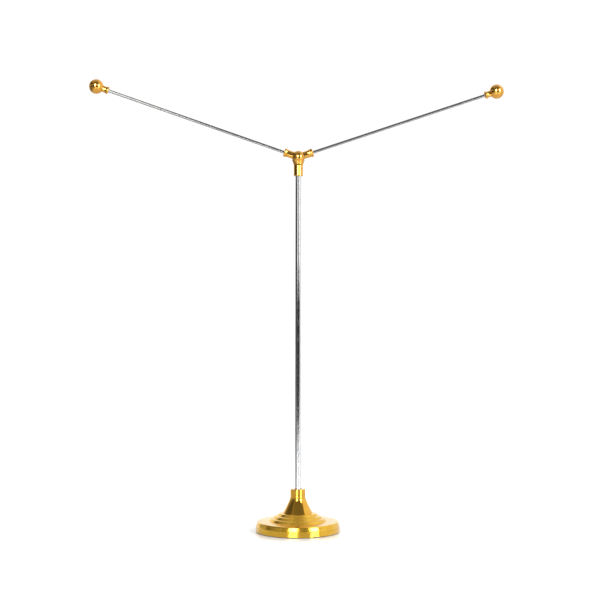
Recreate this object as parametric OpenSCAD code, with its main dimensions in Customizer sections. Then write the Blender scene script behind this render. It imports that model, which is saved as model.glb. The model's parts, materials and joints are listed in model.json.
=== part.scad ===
// Two-arm table stand: a weighted round base, a slim upright and a Y head with a ball on each arm.
// Millimetres, +Z up, origin at the centre of the face that the stand rests on.
// Threads are drawn as plain cylinders at their major diameter, with running clearance round them.

/* [Base] */
// Diameter of the base
base_d = 80; // [76:1:90]
// Height of the lower rim band
rim_h = 6; // [5:0.5:7]
// Height of the step that the neck stands on
plateau_z = 17.6; // [17:0.1:18.4]
// Sheet thickness of the spun base cover
shell_t = 0.8; // [0.6:0.1:0.8]
// Thickness of the pad under the base
pad_t = 1.8; // [1.2:0.1:2]

/* [Neck] */
// Diameter of the straight collar at the top of the neck
neck_d = 14.6; // [13:0.2:16]
// Diameter of the foot of the neck's cone
neck_foot_d = 28.8; // [26:0.2:32]
// Height of the top of the neck above the table
neck_top = 40.3; // [38:0.1:44]

/* [Upright] */
// Diameter of the upright tube
pole_d = 6; // [6:0.1:6.4]
// Wall thickness of the upright tube
pole_wall = 0.8; // [0.6:0.1:0.8]

/* [Head] */
// Height of the centre of the hub ball above the table
hub_z = 356; // [300:1:400]
// Diameter of the hub ball
hub_d = 12.5; // [12.2:0.1:13]

/* [Arms] */
// Diameter of each arm rod
arm_d = 3; // [2.8:0.1:3.2]
// Distance from the centre of the hub ball to the centre of each end ball
arm_reach = 202.2; // [150:0.2:260]
// Rise of each arm above level, in degrees
arm_angle = 18.8; // [15:0.2:30]
// Diameter of the ball at the end of each arm
finial_d = 14; // [13.6:0.1:16]

/* [Hidden] */
$fn = 96;

gold = "goldenrod";
chrome = "silver";
steel = "slategray";
felt = "black";

// Radial clearance of every shaft, spigot and thread in its hole.
clear = 0.05;
// Gap between a scribed edge and the ball that it sits against.
ball_gap = 0.1;

// Base cover: three sloping steps below the plateau.
// Each is [radius where its edge starts to round, top height, foot height].
steps = [
    [17, plateau_z, plateau_z - 2.3],
    [21.3, plateau_z - 2.5, plateau_z - 4.7],
    [25.2, plateau_z - 4.9, plateau_z - 7.3]
];
step_round = 1.2;
step_fillet = 0.5;
step_slope = 45;
rim_r = base_d / 2;
shoulder_r = rim_r - 1.1;
shoulder_z = 9.9;
shoulder_round = 1.2;
shoulder_lean = 12;
rim_round = 0.25;
rim_lift = 0.6;

// Weight and pad.
pad_r = rim_r - 1.1;
weight_gap = 0.2;
weight_pad_r = 15;
nut_pocket_r = 11;
nut_pocket_z = 9;

// M4 fasteners under the base.
stud_r = 2;
stud_hole_r = stud_r + clear;
washer_r = 4.5;
washer_t = 0.8;
spring_r = 3.8;
spring_t = 1;
spring_split = 0.9;
nut_flats = 7;
nut_h = 3.2;
stud_foot_z = 3;
spring_z = nut_pocket_z - washer_t - spring_t;
nut_z = spring_z - nut_h;

// Neck.
neck_r = neck_d / 2;
neck_cone_top = 31.8;
neck_cone_power = 1.15;
neck_step = 0.3;
neck_chamfer = 0.5;
neck_recess_r = 3.9;
neck_recess_h = 0.6;
pole_seat_z = 28;

// Upright and its two threaded plugs.
pole_r = pole_d / 2;
pole_top = hub_z - 10;
plug_r = pole_r - pole_wall;
plug_l = 12;
thread_chamfer = 0.4;
head_stud_top = hub_z - 1.8;

// Hub ball with one boss for each arm and one for the upright.
hub_r = hub_d / 2;
hub_boss_r = 2.6;
hub_boss_end = 9;
hub_foot_r = pole_r;
arm_hole_start = 2.4;
arm_start = 2.6;

// Socket below the hub ball, heights measured down from the ball's centre.
socket_lip_r = 6.3;
socket_lip_z = -2.7;
socket_throat_r = 4.55;
socket_throat_z = -8.4;
socket_foot_r = 4.5;
socket_foot_z = -18.2;
socket_round = 1.1;

// Collars: distances measured from the centre of the ball that each one sits against.
hub_collar_r = 3.5;
hub_collar_lip_r = 4.25;
hub_collar_start = 5.1;
hub_collar_end = 14.4;
finial_collar_r = 3.05;
finial_collar_lip_r = 3.8;
finial_collar_start = 6.1;
finial_collar_end = 12;
lip_w = 1;
lip_chamfer = 0.25;
mouth_depth = 0.9;
mouth_wall = 0.8;

// Arm rods and end balls.
arm_r = arm_d / 2;
arm_end = arm_reach - 1.5;
finial_r = finial_d / 2;
finial_neck_r = 2.5;
finial_neck_end = 10;
finial_hole_end = 1.3;

// Points of a circular arc, from angle a0 to angle a1.
function arc(cx, cy, r, a0, a1, n = 6) =
    [for (i = [0:n]) [cx + r * cos(a0 + (a1 - a0) * i / n), cy + r * sin(a0 + (a1 - a0) * i / n)]];

// A list of points in the opposite order.
function reversed(points) = [for (i = [len(points) - 1:-1:0]) points[i]];

// One rounded step of the base cover, shrunk inwards by d.
function step_points(s, d) =
    let (
        top_r = step_round - d,
        foot_r = step_fillet + d,
        top_z = s[1] - step_round,
        foot_z = s[2] + step_fillet,
        reach = (top_r + foot_r) * cos(step_slope),
        drop = top_z - foot_z + (top_r + foot_r) * sin(step_slope)
    )
    concat(
        arc(s[0], top_z, top_r, 90, step_slope),
        arc(s[0] + reach + drop / tan(step_slope), foot_z, foot_r, 180 + step_slope, 270)
    );

// The base cover's outline from the plateau to the rim, shrunk inwards by d.
function cover_points(d) =
    let (
        round_r = shoulder_round - d,
        wall_r = shoulder_r - shoulder_round + round_r * cos(shoulder_lean),
        wall_z = shoulder_z - shoulder_round + round_r * sin(shoulder_lean)
    )
    concat(
        [for (s = steps) each step_points(s, d)],
        arc(
            shoulder_r - shoulder_round, shoulder_z - shoulder_round,
            round_r, 90, shoulder_lean
        ),
        [[wall_r + (wall_z - rim_h + d) * tan(shoulder_lean), rim_h - d]],
        arc(rim_r - d - rim_round, rim_h - d - rim_round, rim_round, 90, 0, 3)
    );

// A flare that grows from radius r0 at height z0 to radius r1 at height z1, steeper towards r1.
function flare_points(r0, z0, r1, z1, power = 2.5, n = 8) =
    [for (i = [0:n]) [r0 + (r1 - r0) * pow(i / n, power), z0 + (z1 - z0) * i / n]];

// A round bar on +Z with a chamfer at each end.
module chamfered_bar(r, z0, z1, chamfer = thread_chamfer) {
    rotate_extrude()
        polygon([
            [0, z0], [r - chamfer, z0], [r, z0 + chamfer],
            [r, z1 - chamfer], [r - chamfer, z1], [0, z1]
        ]);
}

// A plain hole on +Z.
module hole(r, z0, z1) {
    translate([0, 0, z0]) cylinder(r = r, h = z1 - z0);
}

// A trumpet-shaped collar on +Z that fits a boss at its start and opens to a lip at its end.
module trumpet(start, end, barrel_r, lip_r, boss_r, boss_end, ball_r) {
    bore_r = arm_r + clear;
    flare_start = start + (end - start) * 0.35;
    mouth_r = lip_r - mouth_wall;
    difference() {
        rotate_extrude()
            polygon(concat(
                [[boss_r + clear, start], [barrel_r, start]],
                flare_points(barrel_r, flare_start, lip_r, end - lip_w),
                [
                    [lip_r, end - lip_chamfer], [lip_r - lip_chamfer, end],
                    [mouth_r, end], [bore_r, end - mouth_depth],
                    [bore_r, boss_end + clear], [boss_r + clear, boss_end + clear]
                ]
            ));
        sphere(r = ball_r + ball_gap);
    }
}

// Places a child drawn on +Z along an arm: side is -1 for the left arm and 1 for the right arm.
module on_arm(side) {
    translate([0, 0, hub_z])
        rotate([0, side * (90 - arm_angle), 0])
            children();
}

// Turns a child so that its +Z runs from an end ball back towards the hub.
module at_finial() {
    translate([0, 0, arm_reach])
        rotate([180, 0, 0])
            children();
}

module foot_pad() {
    color(felt)
        chamfered_bar(pad_r, 0, pad_t, 0.2);
}

module base_weight() {
    outline = cover_points(shell_t + weight_gap);
    color(steel)
        difference() {
            union() {
                rotate_extrude()
                    polygon(concat(
                        [[0, pad_t], [0, plateau_z - shell_t - weight_gap]],
                        outline,
                        [[rim_r - shell_t - weight_gap, pad_t]]
                    ));
                hole(weight_pad_r, nut_pocket_z, plateau_z - shell_t);
            }
            hole(stud_hole_r, 0, plateau_z);
            hole(nut_pocket_r, 0, nut_pocket_z);
        }
}

module base_dish() {
    outer = cover_points(0);
    inner = cover_points(shell_t);
    color(gold)
        rotate_extrude()
            polygon(concat(
                [[stud_hole_r, plateau_z]],
                outer,
                [[rim_r, rim_lift], [rim_r - shell_t, rim_lift]],
                reversed(inner),
                [[stud_hole_r, plateau_z - shell_t]]
            ));
}

module neck_cone() {
    pole_hole_r = pole_r + clear;
    color(gold)
        rotate_extrude()
            polygon(concat(
                [[stud_hole_r, plateau_z]],
                reversed(flare_points(
                    neck_r + neck_step, neck_cone_top, neck_foot_d / 2, plateau_z,
                    neck_cone_power
                )),
                [
                    [neck_r, neck_cone_top + neck_step],
                    [neck_r, neck_top - neck_chamfer], [neck_r - neck_chamfer, neck_top],
                    [neck_recess_r, neck_top], [neck_recess_r, neck_top - neck_recess_h],
                    [pole_hole_r, neck_top - neck_recess_h], [pole_hole_r, pole_seat_z],
                    [stud_hole_r, pole_seat_z]
                ]
            ));
}

module base_washer() {
    color(chrome)
        difference() {
            hole(washer_r, nut_pocket_z - washer_t, nut_pocket_z);
            hole(stud_hole_r, nut_pocket_z - 2 * washer_t, nut_pocket_z + washer_t);
        }
}

module base_spring_washer() {
    color(steel)
        difference() {
            hole(spring_r, spring_z, spring_z + spring_t);
            hole(stud_hole_r, spring_z - spring_t, spring_z + 2 * spring_t);
            translate([0, -spring_split / 2, spring_z - spring_t])
                cube([2 * spring_r, spring_split, 3 * spring_t]);
        }
}

module base_nut() {
    color(chrome)
        difference() {
            translate([0, 0, nut_z])
                cylinder(d = nut_flats / cos(30), h = nut_h, $fn = 6);
            hole(stud_hole_r, nut_z - 1, nut_z + nut_h + 1);
        }
}

module pole_tube() {
    color(chrome)
        difference() {
            hole(pole_r, pole_seat_z, pole_top);
            hole(plug_r, pole_seat_z - 1, pole_top + 1);
        }
}

module pole_foot_stud() {
    color(steel) {
        chamfered_bar(stud_r, stud_foot_z, pole_seat_z + plug_l / 2);
        chamfered_bar(plug_r, pole_seat_z, pole_seat_z + plug_l);
    }
}

module pole_head_stud() {
    color(steel) {
        chamfered_bar(plug_r, pole_top - plug_l, pole_top);
        chamfered_bar(stud_r, pole_top - plug_l / 2, head_stud_top);
    }
}

module pole_socket() {
    inner_r = pole_r + clear;
    color(gold)
        translate([0, 0, hub_z])
            difference() {
                rotate_extrude()
                    polygon(concat(
                        [[inner_r, socket_foot_z]],
                        arc(
                            socket_foot_r - socket_round, socket_foot_z + socket_round,
                            socket_round, -90, 0
                        ),
                        flare_points(
                            socket_throat_r, socket_throat_z, socket_lip_r, socket_lip_z, 1.6
                        ),
                        [[inner_r, socket_lip_z]]
                    ));
                sphere(r = hub_r + ball_gap);
            }
}

module hub_ball() {
    foot_end = pole_top + clear;
    color(gold)
        difference() {
            union() {
                translate([0, 0, hub_z]) sphere(r = hub_r);
                hole(hub_foot_r, foot_end, hub_z);
                for (side = [-1, 1]) on_arm(side) hole(hub_boss_r, 0, hub_boss_end);
            }
            hole(stud_hole_r, foot_end - 1, head_stud_top + 0.2);
            for (side = [-1, 1])
                on_arm(side) hole(arm_r + clear, arm_hole_start, hub_boss_end + 1);
        }
}

module hub_collar() {
    color(gold)
        trumpet(
            hub_collar_start, hub_collar_end, hub_collar_r, hub_collar_lip_r,
            hub_boss_r, hub_boss_end, hub_r
        );
}

module arm_rod() {
    color(chrome)
        chamfered_bar(arm_r, arm_start, arm_end);
}

module finial_collar() {
    color(gold)
        at_finial()
            trumpet(
                finial_collar_start, finial_collar_end, finial_collar_r, finial_collar_lip_r,
                finial_neck_r, finial_neck_end, finial_r
            );
}

module finial_ball() {
    color(gold)
        at_finial()
            difference() {
                union() {
                    sphere(r = finial_r);
                    hole(finial_neck_r, 0, finial_neck_end);
                }
                hole(arm_r + clear, finial_hole_end, finial_neck_end + 1);
            }
}

module left_hub_collar() on_arm(-1) hub_collar();
module left_arm() on_arm(-1) arm_rod();
module left_finial_collar() on_arm(-1) finial_collar();
module left_finial_ball() on_arm(-1) finial_ball();
module right_hub_collar() on_arm(1) hub_collar();
module right_arm() on_arm(1) arm_rod();
module right_finial_collar() on_arm(1) finial_collar();
module right_finial_ball() on_arm(1) finial_ball();

foot_pad();
base_weight();
base_dish();
neck_cone();
base_washer();
base_spring_washer();
base_nut();
pole_tube();
pole_foot_stud();
pole_head_stud();
pole_socket();
hub_ball();
left_hub_collar();
left_arm();
left_finial_collar();
left_finial_ball();
right_hub_collar();
right_arm();
right_finial_collar();
right_finial_ball();
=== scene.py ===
"""Looks of the two-arm table stand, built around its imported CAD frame.

Every piece is turned on its own axis in millimetres and then set where the frame says.
"""
import json
import math

import bmesh
import bpy
from mathutils import Matrix, Vector

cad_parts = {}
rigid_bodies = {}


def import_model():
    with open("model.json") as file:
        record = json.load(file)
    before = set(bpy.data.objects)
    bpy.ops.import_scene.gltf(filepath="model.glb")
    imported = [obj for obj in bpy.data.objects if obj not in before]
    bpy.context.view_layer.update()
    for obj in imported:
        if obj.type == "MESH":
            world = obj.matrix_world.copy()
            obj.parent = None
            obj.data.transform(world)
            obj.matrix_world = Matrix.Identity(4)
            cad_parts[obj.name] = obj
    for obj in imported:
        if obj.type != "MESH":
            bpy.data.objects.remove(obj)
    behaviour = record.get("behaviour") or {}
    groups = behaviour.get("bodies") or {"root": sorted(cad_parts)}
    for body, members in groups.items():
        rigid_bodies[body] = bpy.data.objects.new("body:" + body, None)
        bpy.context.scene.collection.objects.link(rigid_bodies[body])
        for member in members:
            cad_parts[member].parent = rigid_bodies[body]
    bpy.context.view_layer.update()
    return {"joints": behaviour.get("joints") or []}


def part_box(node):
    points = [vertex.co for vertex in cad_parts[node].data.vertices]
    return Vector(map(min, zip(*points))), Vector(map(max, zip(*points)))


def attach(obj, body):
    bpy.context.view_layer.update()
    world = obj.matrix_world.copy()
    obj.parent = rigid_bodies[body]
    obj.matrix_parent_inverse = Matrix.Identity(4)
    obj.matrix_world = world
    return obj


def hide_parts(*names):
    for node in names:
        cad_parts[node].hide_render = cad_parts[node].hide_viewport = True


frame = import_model()

MM = 0.001
JOINTS = {joint["name"]: joint for joint in frame["joints"]}
SIDES = ("left", "right")

# Camera: where it stands, and the height on the stand's axis that it looks at.
CAMERA_DISTANCE = 1.2
CAMERA_HEIGHT = 0.2067
CAMERA_TURN = math.radians(3.49)
CAMERA_ROLL = math.radians(0.09)
CAMERA_LENS = 75.58
CAMERA_AIM = Vector((0.00178, 0.0, 0.21982))


# ---------------------------------------------------------------- outlines

def arc(centre_r, centre_z, radius, start, end, steps):
    """Points of a circular arc in (radius, height), from angle start to angle end in degrees."""
    points = []
    for i in range(steps + 1):
        angle = math.radians(start + (end - start) * i / steps)
        points.append((centre_r + radius * math.cos(angle), centre_z + radius * math.sin(angle)))
    return points


def flare(r0, z0, r1, z1, power, steps=14):
    """A curve from (r0, z0) to (r1, z1) that gets steeper towards its end."""
    return [
        (r0 + (r1 - r0) * (i / steps) ** power, z0 + (z1 - z0) * i / steps)
        for i in range(steps + 1)
    ]


def rounded(corners, closed=True, steps=5):
    """Rounds each (r, z, fillet) corner of an outline with an arc of that fillet radius."""
    points = []
    count = len(corners)
    for i, corner in enumerate(corners):
        here = Vector(corner[:2])
        fillet = corner[2] if len(corner) > 2 else 0
        at_end = not closed and i in (0, count - 1)
        if fillet <= 0 or at_end:
            points.append(tuple(here))
            continue
        back = Vector(corners[i - 1][:2]) - here
        ahead = Vector(corners[(i + 1) % count][:2]) - here
        angle = back.angle(ahead)
        if angle > math.pi - 0.01:
            points.append(tuple(here))
            continue
        reach = min(fillet / math.tan(angle / 2), 0.49 * back.length, 0.49 * ahead.length)
        radius = reach * math.tan(angle / 2)
        start = here + back.normalized() * reach
        end = here + ahead.normalized() * reach
        centre = here + (back.normalized() + ahead.normalized()).normalized() * (
            radius / math.sin(angle / 2)
        )
        a0 = math.atan2(start.y - centre.y, start.x - centre.x)
        a1 = math.atan2(end.y - centre.y, end.x - centre.x)
        turn = (a1 - a0 + math.pi) % (2 * math.pi) - math.pi
        for k in range(steps + 1):
            a = a0 + turn * k / steps
            points.append((centre.x + radius * math.cos(a), centre.y + radius * math.sin(a)))
    return points


def supported(points, closed=True, margin=0.12):
    """Adds a point near each end of every long straight, so that its shading stays flat."""
    result = []
    count = len(points)
    for i, point in enumerate(points):
        result.append(point)
        if i == count - 1 and not closed:
            break
        here, there = Vector(point[:2]), Vector(points[(i + 1) % count][:2])
        length = (there - here).length
        if length > 4 * margin:
            for share in (margin / length, 1 - margin / length):
                result.append(tuple(here.lerp(there, share)))
    return result


def thread(radius, z0, z1, pitch, depth, rows=8):
    """Rows of a screw thread from z0 to z1: (radius, height, depth), fading out at both ends."""
    count = max(2, round(abs(z1 - z0) / pitch * rows))
    points = []
    for i in range(count + 1):
        along = i / count
        fade = min(1, along * count / rows, (1 - along) * count / rows)
        points.append((radius, z0 + (z1 - z0) * along, depth * fade))
    return points


# ---------------------------------------------------------------- meshes

def on_axis(origin, direction):
    """The matrix that sets a piece turned about +Z at a point of the frame, along a direction."""
    turn = Vector((0, 0, 1)).rotation_difference(Vector(direction).normalized())
    return Matrix.Translation(Vector(origin)) @ turn.to_matrix().to_4x4()


def thread_shape(phase):
    """How deep a 60-degree thread is at a phase from 0 to 1: 0 on its crest, 1 in its root."""
    height = abs(2 * (phase % 1) - 1)
    return min(1, max(0, 1.45 * height - 0.2))


def turned(name, outline, at, body, material, closed=True, around=96, pitch=1, shape=None):
    """A turned piece: the outline's points in mm swept about +Z. A third value is a thread depth."""
    mesh = bmesh.new()
    place = mesh.verts.layers.float_vector.new("turned")
    rings = []
    for point in outline:
        radius, height = point[0], point[1]
        depth = point[2] if len(point) > 2 else 0
        ring = []
        for k in range(1 if radius < 1e-6 else around):
            angle = 2 * math.pi * k / around
            r = radius
            if depth:
                r -= depth * thread_shape(height / pitch - angle / (2 * math.pi))
            local = Vector((r * math.cos(angle), r * math.sin(angle), height))
            if shape:
                local = shape(local, angle)
            vert = mesh.verts.new(at @ (local * MM))
            vert[place] = local
            ring.append(vert)
        rings.append(ring)
    pairs = list(zip(rings, rings[1:]))
    if closed:
        pairs.append((rings[-1], rings[0]))
    for low, high in pairs:
        for k in range(around):
            n = (k + 1) % around
            corners = [low[k % len(low)], low[n % len(low)], high[n % len(high)], high[k % len(high)]]
            corners = list(dict.fromkeys(corners))
            if len(corners) > 2:
                mesh.faces.new(corners)
    return finished(name, mesh, body, material)


def finished(name, mesh, body, material, crease=math.radians(38)):
    """Makes the object from a bmesh: outward faces, smooth shading, sharp creases, body and slot."""
    bmesh.ops.recalc_face_normals(mesh, faces=mesh.faces)
    for face in mesh.faces:
        face.smooth = True
    for edge in mesh.edges:
        edge.smooth = len(edge.link_faces) == 2 and edge.calc_face_angle(0) < crease
    data = bpy.data.meshes.new(name)
    mesh.to_mesh(data)
    mesh.free()
    piece = bpy.data.objects.new(name, data)
    bpy.context.scene.collection.objects.link(piece)
    piece.data.materials.append(material)
    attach(piece, body)
    return piece


# ---------------------------------------------------------------- materials

class Nodes:
    """A short way to write a material's nodes."""

    def __init__(self, tree):
        self.tree = tree

    def add(self, kind, **settings):
        node = self.tree.nodes.new(kind)
        for key, value in settings.items():
            setattr(node, key, value)
        return node

    def set(self, socket, value):
        if isinstance(value, bpy.types.NodeSocket):
            self.tree.links.new(value, socket)
        elif value is not None:
            socket.default_value = value

    def math(self, operation, a, b=None, c=None):
        node = self.add("ShaderNodeMath", operation=operation)
        for socket, v in zip(node.inputs, (a, b, c)):
            self.set(socket, v)
        return node.outputs[0]

    def ramp(self, value, low, high, out_low=0.0, out_high=1.0, smooth=True):
        node = self.add("ShaderNodeMapRange", interpolation_type="SMOOTHSTEP" if smooth else "LINEAR")
        for socket, v in zip(node.inputs, (value, low, high, out_low, out_high)):
            self.set(socket, v)
        return node.outputs[0]

    def mix(self, factor, a, b):
        node = self.add("ShaderNodeMix", data_type="RGBA")
        self.set(node.inputs[0], factor)
        self.set(node.inputs[6], a)
        self.set(node.inputs[7], b)
        return node.outputs[2]

    def noise(self, vector, scale, detail=3.0, roughness=0.5):
        node = self.add("ShaderNodeTexNoise")
        self.set(node.inputs["Vector"], vector)
        self.set(node.inputs["Scale"], scale)
        self.set(node.inputs["Detail"], detail)
        self.set(node.inputs["Roughness"], roughness)
        return node.outputs["Fac"]

    def vector(self, x, y, z):
        node = self.add("ShaderNodeCombineXYZ")
        for socket, v in zip(node.inputs, (x, y, z)):
            self.set(socket, v)
        return node.outputs[0]


def new_material(name):
    """A material with a Principled shader: (material, its Nodes, the shader)."""
    material = bpy.data.materials.new(name)
    material.use_nodes = True
    tree = material.node_tree
    tree.nodes.clear()
    nodes = Nodes(tree)
    shader = nodes.add("ShaderNodeBsdfPrincipled")
    output = nodes.add("ShaderNodeOutputMaterial")
    tree.links.new(shader.outputs[0], output.inputs[0])
    return material, nodes, shader


def turned_place(nodes):
    """Where a point is on its own turned piece, in mm: (position, radius, height)."""
    place = nodes.add("ShaderNodeAttribute", attribute_name="turned").outputs["Vector"]
    split = nodes.add("ShaderNodeSeparateXYZ")
    nodes.set(split.inputs[0], place)
    x_squared = nodes.math("POWER", split.outputs[0], 2.0)
    y_squared = nodes.math("POWER", split.outputs[1], 2.0)
    squares = nodes.math("ADD", x_squared, y_squared)
    return place, nodes.math("SQRT", squares), split.outputs[2]


def bump(nodes, shader, height, distance, strength=1.0):
    """Feeds a height, whose full swing is distance in metres, to the shader's normal."""
    node = nodes.add("ShaderNodeBump")
    node.inputs["Strength"].default_value = strength
    node.inputs["Distance"].default_value = distance
    nodes.set(node.inputs["Height"], height)
    nodes.set(shader.inputs["Normal"], node.outputs[0])


def plated(name, colour, shade, roughness, lines_per_mm, line_depth, lengthways=False, lacquer=0.0):
    """Polished metal: tool lines round it or along it, faint smudges, and a slightly uneven tint."""
    material, nodes, shader = new_material(name)
    place, radius, height = turned_place(nodes)
    if lengthways:
        unit = nodes.add("ShaderNodeVectorMath", operation="MULTIPLY")
        nodes.set(unit.inputs[0], place)
        unit.inputs[1].default_value = (1.0, 1.0, 0.004)
        line_place = unit.outputs[0]
    else:
        line_place = nodes.vector(radius, height, 0.0)
    lines = nodes.noise(line_place, lines_per_mm, 4.0, 0.65)
    smudge = nodes.noise(place, 0.16, 5.0, 0.6)
    fine = nodes.noise(place, 1.7, 2.0, 0.5)
    tint = nodes.ramp(nodes.math("ADD", smudge, nodes.math("MULTIPLY", lines, 0.25)), 0.42, 0.85)
    nodes.set(shader.inputs["Base Color"], nodes.mix(tint, (*colour, 1), (*shade, 1)))
    grain = nodes.math("MULTIPLY_ADD", fine, roughness * 0.35, roughness * 0.6)
    worn = nodes.ramp(smudge, 0.35, 0.75)
    nodes.set(shader.inputs["Roughness"], nodes.math("MULTIPLY_ADD", worn, roughness * 0.7, grain))
    shader.inputs["Metallic"].default_value = 1.0
    shader.inputs["Coat Weight"].default_value = lacquer
    shader.inputs["Coat Roughness"].default_value = 0.04
    bump(nodes, shader, lines, line_depth)
    return material


def zinc(name, colour):
    """Zinc-plated steel: matt, slightly mottled, with turning marks."""
    material, nodes, shader = new_material(name)
    place, radius, height = turned_place(nodes)
    mottle = nodes.noise(place, 1.3, 4.0, 0.6)
    lines = nodes.noise(nodes.vector(radius, height, 0.0), 7.0, 2.0, 0.5)
    shade = [c * 0.72 for c in colour]
    nodes.set(shader.inputs["Base Color"], nodes.mix(mottle, (*colour, 1), (*shade, 1)))
    nodes.set(shader.inputs["Roughness"], nodes.ramp(mottle, 0.2, 0.8, 0.24, 0.42))
    shader.inputs["Metallic"].default_value = 1.0
    bump(nodes, shader, nodes.math("ADD", mottle, nodes.math("MULTIPLY", lines, 0.4)), 0.00003)
    return material


def iron():
    """Painted grey casting: a pebbled skin with rubbed high spots."""
    material, nodes, shader = new_material("cast_iron")
    place = turned_place(nodes)[0]
    grain = nodes.noise(place, 1.1, 6.0, 0.65)
    patch = nodes.noise(place, 0.12, 3.0, 0.5)
    dark = nodes.mix(patch, (0.035, 0.036, 0.038, 1), (0.07, 0.066, 0.06, 1))
    rubbed = nodes.ramp(grain, 0.62, 0.75)
    nodes.set(shader.inputs["Base Color"], nodes.mix(rubbed, dark, (0.16, 0.155, 0.15, 1)))
    nodes.set(shader.inputs["Roughness"], nodes.ramp(grain, 0.3, 0.7, 0.75, 0.5))
    shader.inputs["Metallic"].default_value = 0.35
    bump(nodes, shader, grain, 0.00025)
    return material


def felt():
    """Pressed wool felt: tangled fibres, a soft sheen and uneven dye."""
    material, nodes, shader = new_material("felt")
    place = turned_place(nodes)[0]
    bend = nodes.add("ShaderNodeTexNoise")
    nodes.set(bend.inputs["Vector"], place)
    bend.inputs["Scale"].default_value = 0.9
    shifted = nodes.add("ShaderNodeVectorMath", operation="ADD")
    nodes.set(shifted.inputs[0], place)
    nodes.set(shifted.inputs[1], bend.outputs["Color"])
    fibre = nodes.noise(shifted.outputs[0], 5.5, 6.0, 0.75)
    dye = nodes.noise(place, 0.25, 3.0, 0.5)
    nodes.set(shader.inputs["Base Color"], nodes.mix(
        nodes.math("MULTIPLY", nodes.math("ADD", fibre, dye), 0.5),
        (0.012, 0.012, 0.013, 1), (0.055, 0.054, 0.056, 1)))
    nodes.set(shader.inputs["Roughness"], nodes.ramp(fibre, 0.3, 0.7, 0.85, 1.0))
    shader.inputs["Sheen Weight"].default_value = 0.35
    shader.inputs["Sheen Roughness"].default_value = 0.45
    bump(nodes, shader, fibre, 0.0004)
    return material


# Plating colours, each with the shade its uneven patches lean towards.
BRASS = (0.90, 0.54, 0.047)
BRASS_SHADE = (0.83, 0.46, 0.035)
NECK = (0.90, 0.49, 0.045)
NECK_SHADE = (0.83, 0.42, 0.035)
GOLD = (0.87, 0.455, 0.08)
GOLD_SHADE = (0.80, 0.39, 0.06)
CHROME = (0.83, 0.83, 0.84)
CHROME_SHADE = (0.74, 0.745, 0.76)
STEEL = (0.50, 0.495, 0.49)
STEEL_SHADE = (0.42, 0.415, 0.41)

MATERIALS = {
    "base": plated("gold_base", BRASS, BRASS_SHADE, 0.15, 2.6, 0.000008, lacquer=0.4),
    "neck": plated("gold_neck", NECK, NECK_SHADE, 0.07, 3.5, 0.000006, lacquer=0.5),
    "fitting": plated("gold_fitting", GOLD, GOLD_SHADE, 0.07, 4.0, 0.000004, lacquer=0.35),
    "ball": plated("gold_ball", GOLD, GOLD_SHADE, 0.05, 3.0, 0.000003, lacquer=0.35),
    "pole": plated("chrome_pole", CHROME, CHROME_SHADE, 0.11, 4.0, 0.0000012, lengthways=True),
    "arm": plated("steel_arm", STEEL, STEEL_SHADE, 0.06, 5.0, 0.0000004, lengthways=True),
    "zinc": zinc("zinc_plate", (0.62, 0.63, 0.66)),
    "stud": zinc("plain_steel", (0.52, 0.51, 0.50)),
    "iron": iron(),
    "felt": felt(),
}


# ---------------------------------------------------------------- base

BASE_AXIS = on_axis((0, 0, 0), (0, 0, 1))
RIM_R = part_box("base_dish")[1].x / MM
PLATEAU_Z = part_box("base_dish")[1].z / MM
RIM_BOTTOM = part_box("base_dish")[0].z / MM
PAD_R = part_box("foot_pad")[1].x / MM
PAD_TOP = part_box("foot_pad")[1].z / MM
NUT_POCKET_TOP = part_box("base_washer")[1].z / MM
SHELL = 0.8
STUD_HOLE_R = 2.05
# The three sloping steps: (radius, depth below the plateau) of the upper and of the lower corner.
STEPS = (((17.5, 0.0), (19.8, 2.3)), ((21.8, 2.5), (24.0, 4.7)), ((25.7, 4.9), (28.1, 7.3)))
STEP_ROUND = 1.2
STEP_FILLET = 0.5
RIM_BAND = 6.0
SHOULDER_Z = 9.9
SHOULDER_LEAN = 0.83


def cover_line(inset):
    """The base cover's outline from its plateau to its rim, moved inwards by inset."""
    corners = []
    across = inset * math.tan(math.radians(22.5))
    for (top_r, top), (foot_r, foot) in STEPS:
        corners.append((top_r - across, PLATEAU_Z - top - inset, STEP_ROUND - inset))
        corners.append((foot_r - across, PLATEAU_Z - foot - inset, STEP_FILLET + inset))
    shoulder = RIM_R - 0.5 - inset
    corners.append((shoulder - SHOULDER_LEAN, SHOULDER_Z - inset, 1.2 - inset))
    corners.append((shoulder, RIM_BAND - inset, 0.12 + inset))
    corners.append((RIM_R - inset, RIM_BAND - inset, max(0.3 - inset, 0.05)))
    return corners


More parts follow.
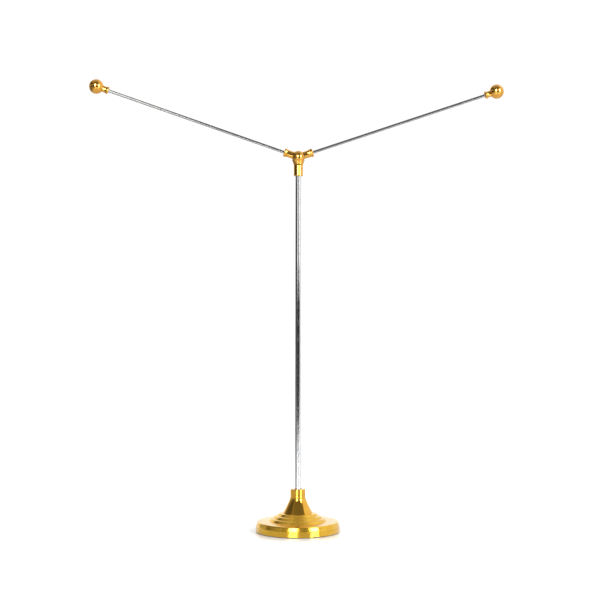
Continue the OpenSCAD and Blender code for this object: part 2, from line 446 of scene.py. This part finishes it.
def make_base():
    """The spun cover, the iron weight inside it and the felt pad under it."""
    ceiling = PLATEAU_Z - SHELL
    outer = [(STUD_HOLE_R, PLATEAU_Z, 0), *cover_line(0), (RIM_R, RIM_BOTTOM, 0.3)]
    inner = [(RIM_R - SHELL, RIM_BOTTOM, 0.3), *reversed(cover_line(SHELL)), (STUD_HOLE_R, ceiling, 0)]
    cover = turned("base_cover", supported(rounded(outer + inner, steps=7)), BASE_AXIS, "base",
                   MATERIALS["base"], around=224)
    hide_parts("base_dish")

    gap = SHELL + 0.2
    pocket_r = 11.0
    weight = turned("base_weight_casting", supported(rounded([
        (STUD_HOLE_R, ceiling, 0.1), (15.0, ceiling, 0.1),
        (15.0, PLATEAU_Z - gap, 0.05), *cover_line(gap),
        (RIM_R - gap, PAD_TOP, 0.5), (pocket_r, PAD_TOP, 0.6),
        (pocket_r, NUT_POCKET_TOP, 0.5), (STUD_HOLE_R, NUT_POCKET_TOP, 0.1),
    ], steps=3)), BASE_AXIS, "base", MATERIALS["iron"], around=128)
    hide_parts("base_weight")

    pad = turned("felt_pad", supported(rounded([
        (0, 0, 0), (PAD_R, 0, 0.35), (PAD_R, PAD_TOP, 0.35), (0, PAD_TOP, 0),
    ], closed=False), closed=False, margin=0.6), BASE_AXIS, "base", MATERIALS["felt"],
        closed=False, around=160)
    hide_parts("foot_pad")


def make_neck():
    """The turned cone with its straight collar, which the upright stands in."""
    low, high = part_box("neck_cone")
    foot_z = low.z / MM
    top_z = high.z / MM
    foot_r = high.x / MM
    collar_r = 7.3
    cone_top = 31.8
    bore_r = 3.05
    seat_z = 28.0
    cone = flare(collar_r + 0.3, cone_top - 0.3, foot_r - 0.1, foot_z + 0.2, 1.15)
    neck = turned("neck_turning", supported(rounded([
        (STUD_HOLE_R, foot_z, 0.1), (foot_r, foot_z, 0), *reversed(cone),
        (collar_r + 0.3, cone_top, 0.04), (collar_r, cone_top + 0.3, 0),
        (collar_r, top_z, 0.55), (3.9, top_z, 0.15), (3.9, top_z - 0.6, 0.1),
        (bore_r, top_z - 0.6, 0.05), (bore_r, seat_z, 0.1), (STUD_HOLE_R, seat_z, 0.1),
    ])), BASE_AXIS, "base", MATERIALS["neck"], around=160)
    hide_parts("neck_cone")


def make_base_fasteners():
    """The washer, split spring washer and hex nut that clamp the base on the upright's stud."""
    low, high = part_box("base_washer")
    washer = turned("flat_washer", supported(rounded([
        (STUD_HOLE_R + 0.1, low.z / MM, 0.08), (high.x / MM, low.z / MM, 0.15),
        (high.x / MM, high.z / MM, 0.25), (STUD_HOLE_R + 0.1, high.z / MM, 0.08),
    ])), BASE_AXIS, "base", MATERIALS["zinc"], around=72)
    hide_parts("base_washer")
    make_spring_washer()
    make_nut()


def make_spring_washer():
    """A split ring whose ends sit one above the other."""
    low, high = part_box("base_spring_washer")
    inner = 2.1
    outer = high.x / MM
    bottom = low.z / MM
    top = high.z / MM
    rise = 0.12
    half_gap = math.radians(13)
    steps = 96
    section = rounded([
        (inner, bottom, 0.1), (outer, bottom, 0.1), (outer, top - rise, 0.1), (inner, top - rise, 0.1),
    ], steps=3)
    mesh = bmesh.new()
    place = mesh.verts.layers.float_vector.new("turned")
    rings = []
    for i in range(steps + 1):
        angle = half_gap + (2 * math.pi - 2 * half_gap) * i / steps
        ring = []
        for radius, height in section:
            local = Vector((radius * math.cos(angle), radius * math.sin(angle), height + rise * i / steps))
            vert = mesh.verts.new(local * MM)
            vert[place] = local
            ring.append(vert)
        rings.append(ring)
    count = len(section)
    for one, two in zip(rings, rings[1:]):
        for k in range(count):
            mesh.faces.new((one[k], one[(k + 1) % count], two[(k + 1) % count], two[k]))
    mesh.faces.new(rings[0])
    mesh.faces.new(rings[-1])
    ring = finished("spring_washer", mesh, "base", MATERIALS["zinc"])
    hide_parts("base_spring_washer")


def make_nut():
    """A hex nut: chamfered corners above and below, and a threaded hole."""
    low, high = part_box("base_nut")
    bottom = low.z / MM
    top = high.z / MM
    flat_r = high.y / MM
    slope = math.tan(math.radians(30))
    start = flat_r * 0.96

    def hexagon(local, angle):
        radius = math.hypot(local.x, local.y)
        if radius < start + 0.01:
            return local
        corner = flat_r / math.cos((angle + math.pi / 6) % (math.pi / 3) - math.pi / 6)
        drop = (corner - start) * slope
        middle = (bottom + top) / 2
        z = min(local.z, top - drop) if local.z > middle else max(local.z, bottom + drop)
        return Vector((corner * math.cos(angle), corner * math.sin(angle), z))

    hole = STUD_HOLE_R
    outline = [
        (start, bottom), (flat_r * 1.1, bottom), (flat_r * 1.1, top), (start, top), (hole + 0.25, top),
        *thread(hole, top - 0.2, bottom + 0.2, 0.7, -0.22), (hole + 0.25, bottom),
    ]
    nut = turned("hex_nut", outline, BASE_AXIS, "base", MATERIALS["zinc"],
                 around=96, pitch=0.7, shape=hexagon)
    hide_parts("base_nut")


# ---------------------------------------------------------------- upright

POLE_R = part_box("pole_tube")[1].x / MM
PLUG_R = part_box("pole_head_stud")[1].x / MM


def make_upright():
    """The tube and the threaded plug in each of its ends."""
    low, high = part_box("pole_tube")
    tube = turned("upright_tube", supported(rounded([
        (PLUG_R, low.z / MM, 0.15), (POLE_R, low.z / MM, 0.3),
        (POLE_R, high.z / MM, 0.3), (PLUG_R, high.z / MM, 0.15),
    ])), BASE_AXIS, "base", MATERIALS["pole"], around=96)
    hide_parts("pole_tube")
    make_stud("foot_stud", "pole_foot_stud", plug_above=True)
    make_stud("head_stud", "pole_head_stud", plug_above=False)


def make_stud(name, node, plug_above):
    """A turned plug with an M4 thread, seen below the plug or above it."""
    low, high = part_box(node)
    bottom = low.z / MM
    top = high.z / MM
    plug = 12.0
    core = 2.0
    pitch = 0.7
    depth = 0.42
    if plug_above:
        outline = [
            (0, bottom), (core - 0.4, bottom), *thread(core, bottom + 0.4, top - plug - 1.0, pitch, depth),
            (core, top - plug), (PLUG_R - 0.4, top - plug), (PLUG_R, top - plug + 0.4),
            (PLUG_R, top - 0.4), (PLUG_R - 0.4, top), (0, top),
        ]
    else:
        outline = [
            (0, bottom), (PLUG_R - 0.4, bottom), (PLUG_R, bottom + 0.4), (PLUG_R, bottom + plug - 0.4),
            (PLUG_R - 0.4, bottom + plug), (core, bottom + plug),
            *thread(core, bottom + plug + 0.5, top - 0.4, pitch, depth), (core - 0.4, top), (0, top),
        ]
    stud = turned(name, outline, BASE_AXIS, "base", MATERIALS["stud"],
                  closed=False, around=48, pitch=pitch)
    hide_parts(node)


# ---------------------------------------------------------------- head

HUB = Vector(JOINTS["left_arm_turn"]["pos_m"])
HUB_AXIS = on_axis(HUB, (0, 0, 1))
HUB_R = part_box("hub_ball")[1].y / MM
BALL_GAP = 0.1
BORE_R = 1.55


def ball_line(radius, start, end, steps=40):
    """A ball's outline from one angle above its equator to another, in degrees."""
    return arc(0, 0, radius, start, end, steps)


def angle_at(radius, r):
    """How far below the equator, in degrees, a ball of this radius narrows to radius r."""
    return math.degrees(math.acos(r / radius))


def make_hub():
    """The hub ball with its three bosses, and the socket that joins it to the upright."""
    foot_r = POLE_R
    foot_end = -9.95
    hole_top = -1.6
    boss_start = -math.sqrt(HUB_R ** 2 - foot_r ** 2)
    outline = [
        (0, HUB_R), *ball_line(HUB_R, 89, -angle_at(HUB_R, foot_r) + 0.5),
        (foot_r, boss_start - 0.2), (foot_r, foot_end + 0.2), (foot_r - 0.2, foot_end),
        (2.3, foot_end), *thread(STUD_HOLE_R, foot_end + 0.3, hole_top - 0.3, 0.7, -0.2),
        (STUD_HOLE_R, hole_top), (0, hole_top),
    ]
    ball = turned("hub_ball_turning", outline, HUB_AXIS, "head", MATERIALS["fitting"],
                  closed=False, around=128, pitch=0.7)
    for side in SIDES:
        add_boss(ball, side)
    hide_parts("hub_ball")

    socket_corners = [
        (POLE_R + 0.05, -18.2, 0.15), (4.5, -18.2, 1.1),
        *[(r, z, 0) for r, z in flare(4.55, -8.4, 6.3, -2.7, 1.6)],
    ]
    rim_inner = HUB_R + BALL_GAP
    rim_angle = -math.degrees(math.asin(2.7 / rim_inner)) - 1
    inside = arc(0, 0, rim_inner, rim_angle, -angle_at(rim_inner, POLE_R + 0.05), 14)
    socket = turned("pole_socket_turning", supported(rounded(socket_corners) + inside), HUB_AXIS,
                    "head_socket", MATERIALS["fitting"], around=128)
    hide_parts("pole_socket")


def add_boss(ball, side):
    """Joins one arm's boss to the hub ball and drills its hole."""
    direction = Vector(JOINTS[f"{side}_arm_turn"]["axis"])
    place = on_axis(HUB, direction)
    for operation, start, end, radius in (("UNION", 3.0, 9.0, 2.6), ("DIFFERENCE", 2.4, 9.5, BORE_R)):
        mesh = bmesh.new()
        middle = Matrix.Translation((0, 0, (start + end) / 2 * MM))
        bmesh.ops.create_cone(mesh, cap_ends=True, segments=64, radius1=radius * MM, radius2=radius * MM,
                              depth=(end - start) * MM, matrix=place @ middle)
        data = bpy.data.meshes.new("tool")
        mesh.to_mesh(data)
        mesh.free()
        tool = bpy.data.objects.new("tool", data)
        bpy.context.scene.collection.objects.link(tool)
        cut = ball.modifiers.new("boss", "BOOLEAN")
        cut.operation = operation
        cut.solver = "EXACT"
        cut.object = tool
        bpy.context.view_layer.update()
        worked = ball.evaluated_get(bpy.context.evaluated_depsgraph_get())
        result = bpy.data.meshes.new_from_object(worked)
        ball.modifiers.clear()
        ball.data = result
        bpy.data.objects.remove(tool)


def trumpet_line(start, end, barrel_r, lip_r, boss_r, boss_end, ball_r):
    """A collar that fits over a boss, swells from its barrel and opens to a rolled lip."""
    lip_w = 1.0
    mouth_depth = 0.9
    mouth_wall = 0.8
    flare_start = start + (end - start) * 0.35
    edge = ball_r + BALL_GAP
    first = angle_at(edge, math.sqrt(edge ** 2 - (boss_r + 0.05) ** 2))
    last = angle_at(edge, math.sqrt(edge ** 2 - barrel_r ** 2))
    corners = [
        *[(r, z, 0) for z, r in arc(0, 0, edge, first, last, 6)],
        *[(r, z, 0) for r, z in flare(barrel_r, flare_start, lip_r, end - lip_w, 2.5)],
        (lip_r, end, 0.35), (lip_r - mouth_wall, end, 0.3), (BORE_R, end - mouth_depth, 0.1),
        (BORE_R, boss_end + 0.05, 0.1), (boss_r + 0.05, boss_end + 0.05, 0.1),
    ]
    return supported(rounded(corners, steps=4))


def make_arm(side):
    """One arm: its root collar, threaded rod, tip collar and end ball."""
    axis = Vector(JOINTS[f"{side}_arm_turn"]["axis"])
    centre = Vector(JOINTS[f"{side}_ball_turn"]["pos_m"])
    out_from_hub = on_axis(HUB, axis)
    back_from_ball = on_axis(centre, -axis)
    reach = (centre - HUB).length / MM
    ball_r = 7.0

    root_line = trumpet_line(5.1, 14.4, 3.5, 4.25, 2.6, 9.0, HUB_R)
    root = turned(f"{side}_root_collar_turning", root_line, out_from_hub, f"{side}_root_collar",
                  MATERIALS["fitting"], around=96)
    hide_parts(f"{side}_hub_collar")

    tip_line = trumpet_line(6.1, 12.0, 3.05, 3.8, 2.5, 10.0, ball_r)
    tip = turned(f"{side}_tip_collar_turning", tip_line, back_from_ball, f"{side}_tip_collar",
                 MATERIALS["ball"], around=96)
    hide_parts(f"{side}_finial_collar")

    rod_r = 1.5
    rod_start = 2.6
    rod_end = reach - 1.5
    pitch = 0.5
    depth = 0.3
    rod_line = [
        (0, rod_start), (rod_r - 0.4, rod_start), *thread(rod_r, rod_start + 0.4, 9.2, pitch, depth),
        (rod_r, 9.6), (rod_r, rod_end - 10.0), *thread(rod_r, rod_end - 9.4, rod_end - 0.4, pitch, depth),
        (rod_r - 0.4, rod_end), (0, rod_end),
    ]
    rod = turned(f"{side}_rod", rod_line, out_from_hub, f"{side}_arm", MATERIALS["arm"],
                 closed=False, around=48, pitch=pitch)
    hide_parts(f"{side}_arm")

    neck_r = 2.5
    neck_end = 10.0
    hole_end = 1.3
    ball_outline = [
        (0, -ball_r), *ball_line(ball_r, -89, angle_at(ball_r, neck_r) - 0.5, 48),
        (neck_r, math.sqrt(ball_r ** 2 - neck_r ** 2) + 0.2), (neck_r, neck_end - 0.2),
        (neck_r - 0.2, neck_end),
        (BORE_R + 0.2, neck_end), *thread(BORE_R, neck_end - 0.25, hole_end + 0.3, pitch, -0.2),
        (BORE_R, hole_end), (0, hole_end),
    ]
    ball = turned(f"{side}_end_ball", ball_outline, back_from_ball, f"{side}_ball",
                  MATERIALS["ball"], closed=False, around=128, pitch=pitch)
    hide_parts(f"{side}_finial_ball")


# ---------------------------------------------------------------- studio

def make_camera():
    """A long lens in front of the stand, a little to its left, at the height of its upright."""
    data = bpy.data.cameras.new("camera")
    data.lens = CAMERA_LENS
    camera = bpy.data.objects.new("camera", data)
    bpy.context.scene.collection.objects.link(camera)
    spot = Vector((-math.sin(CAMERA_TURN), -math.cos(CAMERA_TURN), 0)) * CAMERA_DISTANCE
    camera.location = spot + Vector((0, 0, CAMERA_HEIGHT))
    aim = (CAMERA_AIM - camera.location).to_track_quat("-Z", "Y")
    camera.rotation_euler = (aim.to_matrix() @ Matrix.Rotation(CAMERA_ROLL, 3, "Z")).to_euler()
    bpy.context.scene.camera = camera


def make_table():
    """A white table top, a little glossy, that the stand rests on, with painted shade darkening it towards
    its far left.
    """
    mesh = bmesh.new()
    front = -0.93
    back = 7.0
    side = 5.0
    mesh.faces.new([mesh.verts.new(p) for p in (
        (-side, front, 0), (side, front, 0), (side, back, 0), (-side, back, 0))])
    data = bpy.data.meshes.new("table_top")
    mesh.to_mesh(data)
    mesh.free()
    table = bpy.data.objects.new("table_top", data)
    bpy.context.scene.collection.objects.link(table)
    material, nodes, shader = new_material("white_table")
    place = nodes.add("ShaderNodeTexCoord").outputs["Object"]
    split = nodes.add("ShaderNodeSeparateXYZ")
    nodes.set(split.inputs[0], place)
    cloud = nodes.noise(place, 3.0, 2.0)
    white = nodes.mix(cloud, (0.80, 0.80, 0.80, 1), (0.83, 0.83, 0.83, 1))
    # Painted shade: the table's colour darkens towards its far left, as if less light fell there.
    painted_shade_left = nodes.ramp(split.outputs[0], -0.9, -0.35)
    nodes.set(shader.inputs["Base Color"], nodes.mix(painted_shade_left, (0.28, 0.28, 0.28, 1), white))
    nodes.set(shader.inputs["Roughness"], nodes.ramp(cloud, 0.3, 0.7, 0.14, 0.18))
    # The camera sees the table fade to the plain white backdrop away from the stand.
    reach = nodes.add("ShaderNodeVectorMath", operation="LENGTH")
    nodes.set(reach.inputs[0], place)
    fade = nodes.ramp(reach.outputs["Value"], 0.036, 0.086, 0.06, 1.0)
    seen = nodes.math("MULTIPLY", fade, nodes.add("ShaderNodeLightPath").outputs["Is Camera Ray"])
    nodes.set(shader.inputs["Emission Strength"], seen)
    shader.inputs["Emission Color"].default_value = (1.0, 1.0, 1.0, 1.0)
    table.data.materials.append(material)


# How bright the room is along an arch from the front horizon (0), overhead (90), to the back (180).
ARCH = ((0, 0.03), (8, 0.06), (13, 0.3), (24, 0.3), (38, 0.18), (59, 0.21), (79, 0.46), (90, 0.6),
        (108, 0.66), (133, 0.84), (162, 1.1), (180, 1.2))
# How bright its left side is, from straight down (-90) to straight up (90).
LEFT_SIDE = ((-90, 0.28), (-16, 0.24), (-6, 0.48), (12, 0.48), (20, 0.28), (29, 0.11), (40, 0.12),
             (50, 0.36), (60, 0.45), (90, 0.6))
RIGHT_SIDE = ((-90, 0.9), (90, 1.05))
# Softboxes: (azimuth, distance, width, lowest and highest edge), in degrees and metres.
SOFTBOXES = {
    "left": (-16.0, 2.5, 0.95, 0.30, 1.75),
    "right": (43.0, 2.5, 1.0, 0.30, 1.75),
}
# How bright the softboxes are on each group of pieces, in watts per square metre and steradian.
SOFTBOX_RADIANCE = {"upright": 1.8, "arms": 4.5, "others": 12.0}
LIGHT_GROUPS = {"upright_tube": "upright", "left_rod": "arms", "right_rod": "arms"}


def curve(nodes, value, points):
    """A piecewise straight curve through (angle in degrees, level) points; value is in radians."""
    first, last = math.radians(points[0][0]), math.radians(points[-1][0])
    ramp = nodes.add("ShaderNodeValToRGB")
    stops = ramp.color_ramp.elements
    while len(stops) < len(points):
        stops.new(0.5)
    for stop, (angle, level) in zip(stops, points):
        stop.position = (math.radians(angle) - first) / (last - first)
    for stop, (angle, level) in zip(stops, points):
        stop.color = (level, level, level, 1)
    nodes.set(ramp.inputs[0], nodes.ramp(value, first, last, smooth=False))
    return ramp.outputs[0]


def facing(nodes, azimuth, centre, half, soft):
    """1 within half degrees of an azimuth and 0 elsewhere, with a soft edge."""
    turn = nodes.math("SUBTRACT", azimuth, math.radians(centre))
    away = nodes.math("ABSOLUTE", nodes.math("WRAP", turn, math.pi, -math.pi))
    return nodes.ramp(away, math.radians(half - soft), math.radians(half + soft), 1.0, 0.0)


def make_room():
    """The studio's walls and ceiling as seen in the metal, and plain white behind the stand."""
    world = bpy.data.worlds.new("studio")
    world.use_nodes = True
    tree = world.node_tree
    tree.nodes.clear()
    nodes = Nodes(tree)
    split = nodes.add("ShaderNodeSeparateXYZ")
    nodes.set(split.inputs[0], nodes.add("ShaderNodeTexCoord").outputs["Generated"])
    x, y, z = split.outputs
    ahead = nodes.math("MULTIPLY", y, -1.0)
    azimuth = nodes.math("ARCTAN2", x, ahead)
    elevation = nodes.math("ARCSINE", z)
    pitch = nodes.math("ARCTAN2", nodes.math("ABSOLUTE", z), ahead)
    level = curve(nodes, pitch, ARCH)
    for centre, half, soft, side in ((-92, 44, 7, LEFT_SIDE), (106, 44, 6, RIGHT_SIDE)):
        overhead = nodes.ramp(elevation, math.radians(55), math.radians(80), 1.0, 0.0)
        mask = nodes.math("MULTIPLY", facing(nodes, azimuth, centre, half, soft), overhead)
        level = nodes.mix(mask, level, curve(nodes, elevation, side))
    strip = facing(nodes, azimuth, -54, 5, 2)
    strip = nodes.math("MULTIPLY", strip, nodes.ramp(elevation, math.radians(24), math.radians(32)))
    level = nodes.mix(strip, level, (0.3, 0.3, 0.3, 1))
    # A low black screen on the left gives the upright its dark edge.
    low = nodes.ramp(nodes.math("ABSOLUTE", elevation), math.radians(7), math.radians(10), 1.0, 0.0)
    screen = nodes.math("MULTIPLY", facing(nodes, azimuth, -75, 25, 4), low)
    level = nodes.mix(screen, level, (0.05, 0.05, 0.05, 1))
    seen = nodes.add("ShaderNodeBackground")
    seen.inputs["Color"].default_value = (1.0, 1.0, 1.0, 1.0)
    seen.inputs["Strength"].default_value = 1.1
    room = nodes.add("ShaderNodeBackground")
    nodes.set(room.inputs["Color"], level)
    which = nodes.add("ShaderNodeMixShader")
    nodes.set(which.inputs[0], nodes.add("ShaderNodeLightPath").outputs["Is Camera Ray"])
    nodes.set(which.inputs[1], room.outputs[0])
    nodes.set(which.inputs[2], seen.outputs[0])
    nodes.set(nodes.add("ShaderNodeOutputWorld").inputs[0], which.outputs[0])
    bpy.context.scene.world = world


def make_softboxes():
    """Two tall softboxes in front of the stand, toned down where they light the bright rods."""
    groups = {name: bpy.data.collections.new(name) for name in SOFTBOX_RADIANCE}
    for piece in bpy.context.scene.objects:
        if piece.type == "MESH":
            groups[LIGHT_GROUPS.get(piece.name, "others")].objects.link(piece)
    for side, (azimuth, distance, width, low, high) in SOFTBOXES.items():
        angle = math.radians(azimuth)
        for group, radiance in SOFTBOX_RADIANCE.items():
            data = bpy.data.lights.new(f"softbox_{side}_{group}", "AREA")
            data.shape = "RECTANGLE"
            data.size = width
            data.size_y = high - low
            data.energy = radiance * math.pi * width * (high - low)
            light = bpy.data.objects.new(data.name, data)
            bpy.context.scene.collection.objects.link(light)
            light.location = (math.sin(angle) * distance, -math.cos(angle) * distance, (low + high) / 2)
            light.rotation_euler = (math.radians(90), 0, angle)
            light.visible_camera = False
            light.light_linking.receiver_collection = groups[group]


bpy.context.scene.view_settings.view_transform = "Standard"
make_camera()
make_base()
make_neck()
make_base_fasteners()
make_upright()
make_hub()
for arm_side in SIDES:
    make_arm(arm_side)
make_table()
make_room()
make_softboxes()
